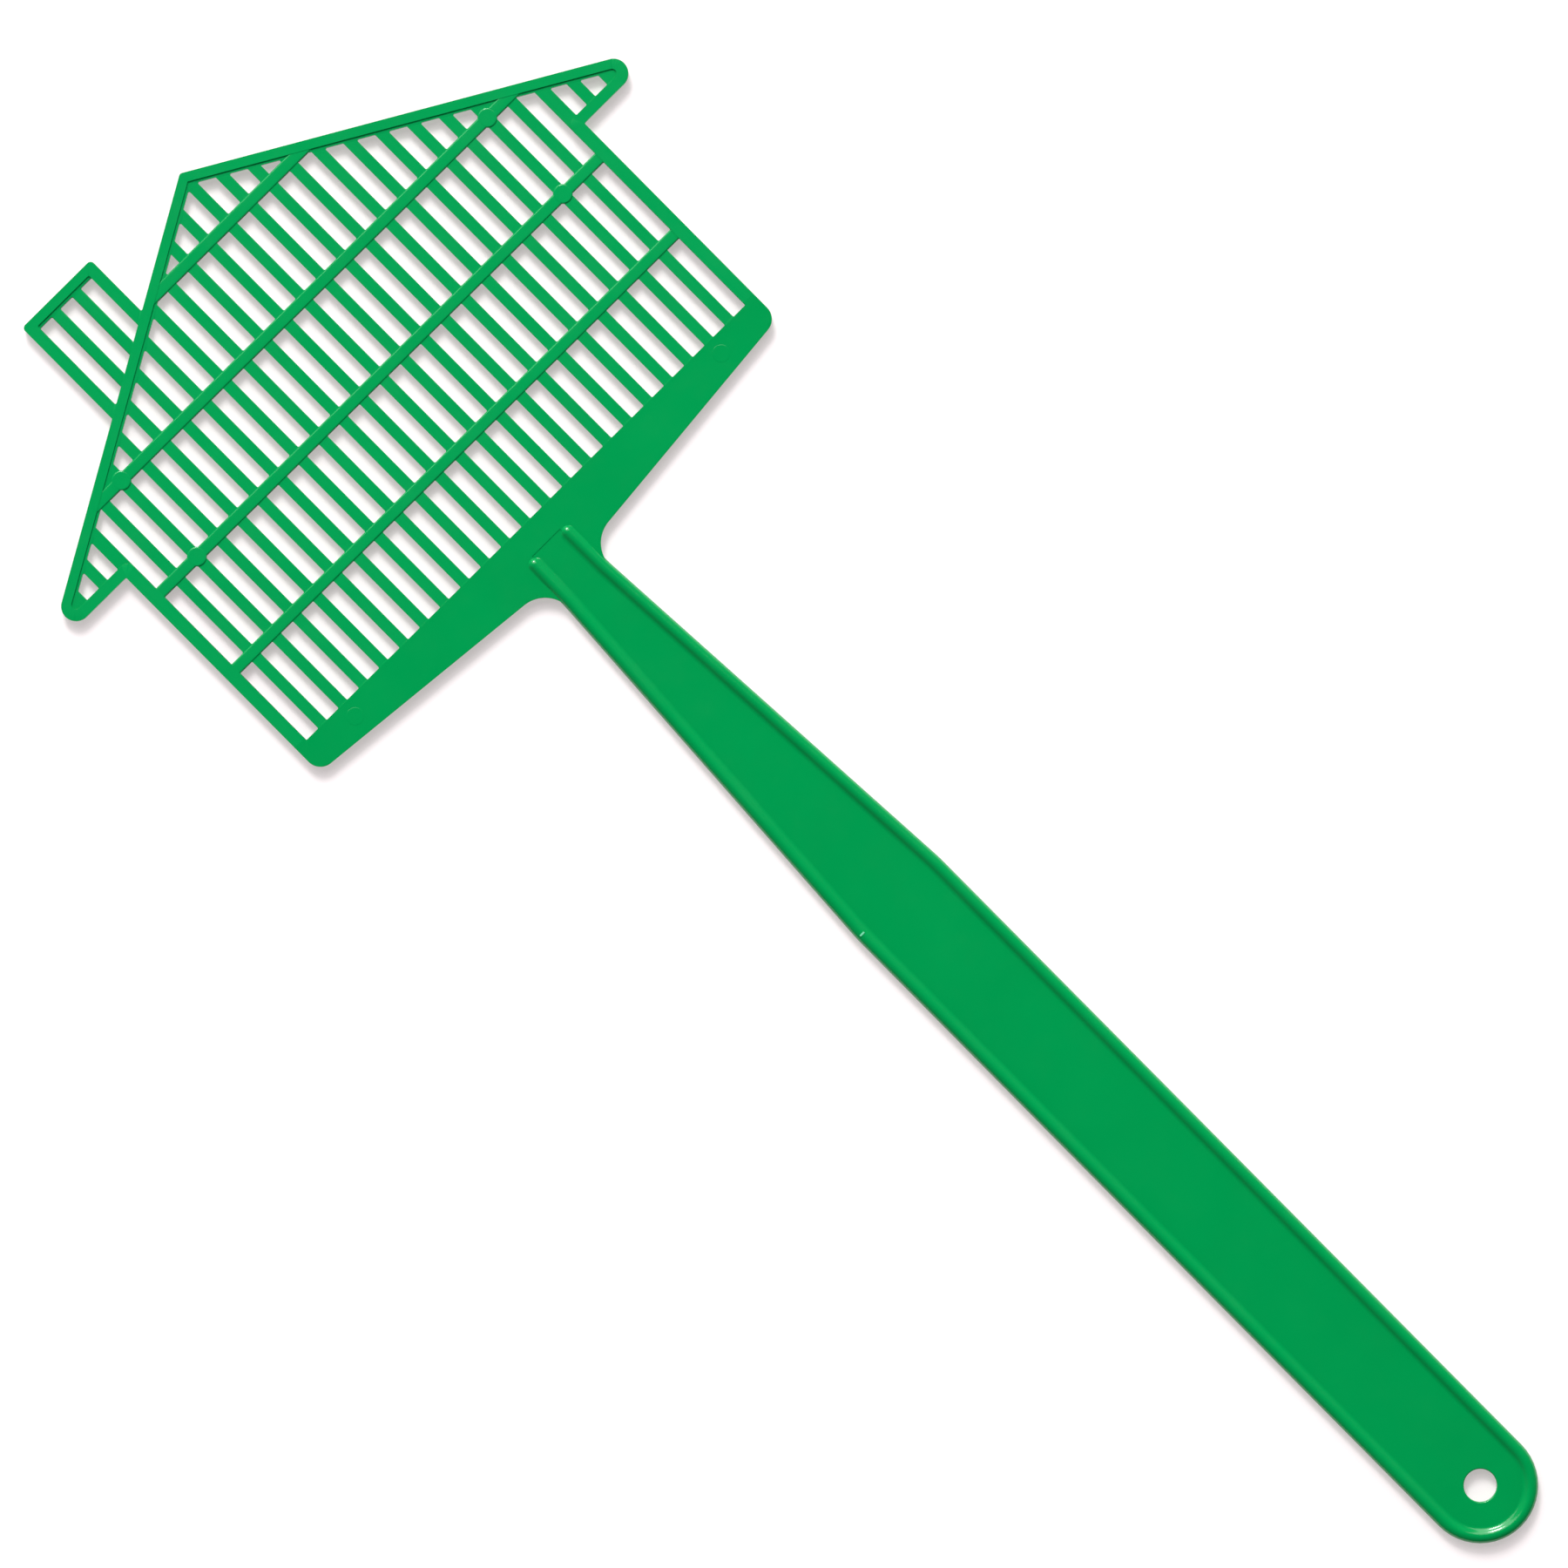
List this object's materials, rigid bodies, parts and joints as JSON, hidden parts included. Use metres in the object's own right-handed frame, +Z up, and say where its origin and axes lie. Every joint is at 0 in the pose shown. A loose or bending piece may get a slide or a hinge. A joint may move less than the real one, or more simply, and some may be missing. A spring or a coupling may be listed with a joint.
{
  "type": "fly swatter",
  "caption": "House-shaped moulded plastic fly swatter: slatted head with roof, eaves and chimney, solid collar, flexible neck, railed flat handle with a hanging hole.",
  "frame": {"origin": "on the resting plane, under the middle of the outline of the whole swatter as it lies flat with its ribbed face up", "axes": "+Y along the handle from the hanging hole to the roof ridge, +Z up out of the ribbed and printable face, +X across, away from the chimney"},
  "size_m": [0.1716, 0.4164, 0.0032],
  "materials": {
    "rim": "semi-gloss moulded polypropylene",
    "slat": "semi-gloss moulded polypropylene, thin and slightly translucent",
    "rib": "semi-gloss moulded polypropylene",
    "web": "smooth moulded polypropylene with a fine mould texture",
    "rail": "glossy moulded polypropylene"
  },
  "bodies": {
    "handle": {"neck_web": "web", "grip_web": "web", "hang_tab": "web", "neck_rail_left": "rail", "neck_rail_right": "rail", "grip_rail_left": "rail", "grip_rail_right": "rail", "end_loop": "rail"},
    "head": {"roof_rail_left": "rim", "roof_rail_right": "rim", "eave_rail_left": "rim", "eave_rail_right": "rim", "wall_rail_left": "rim", "wall_rail_right": "rim", "chimney_rail_outer": "rim", "chimney_rail_inner": "rim", "chimney_cap": "rim", "slat_01": "slat", "slat_02": "slat", "slat_03": "slat", "slat_04": "slat", "slat_05": "slat", "slat_06": "slat", "slat_07": "slat", "slat_08": "slat", "slat_09": "slat", "slat_10": "slat", "slat_11": "slat", "slat_12": "slat", "slat_13": "slat", "slat_14": "slat", "slat_15": "slat", "slat_16": "slat", "slat_17": "slat", "slat_18": "slat", "slat_19": "slat", "slat_20": "slat", "slat_21": "slat", "eave_slat_left": "slat", "eave_slat_right": "slat", "chimney_slat_1": "slat", "chimney_slat_2": "slat", "cross_rib_1": "rib", "cross_rib_2": "rib", "cross_rib_3": "rib", "cross_rib_4": "rib", "collar": "web", "rail_end_left": "rail", "rail_end_right": "rail"}
  },
  "joints": [
    {"name": "neck_flex", "type": "hinge", "parent": "handle", "child": "head", "pos_m": [0, 0.0818, 0.0016], "axis": [1, 0, 0], "range_deg": [-20, 20], "stiffness_Nm_per_rad": 0.35}
  ]
}
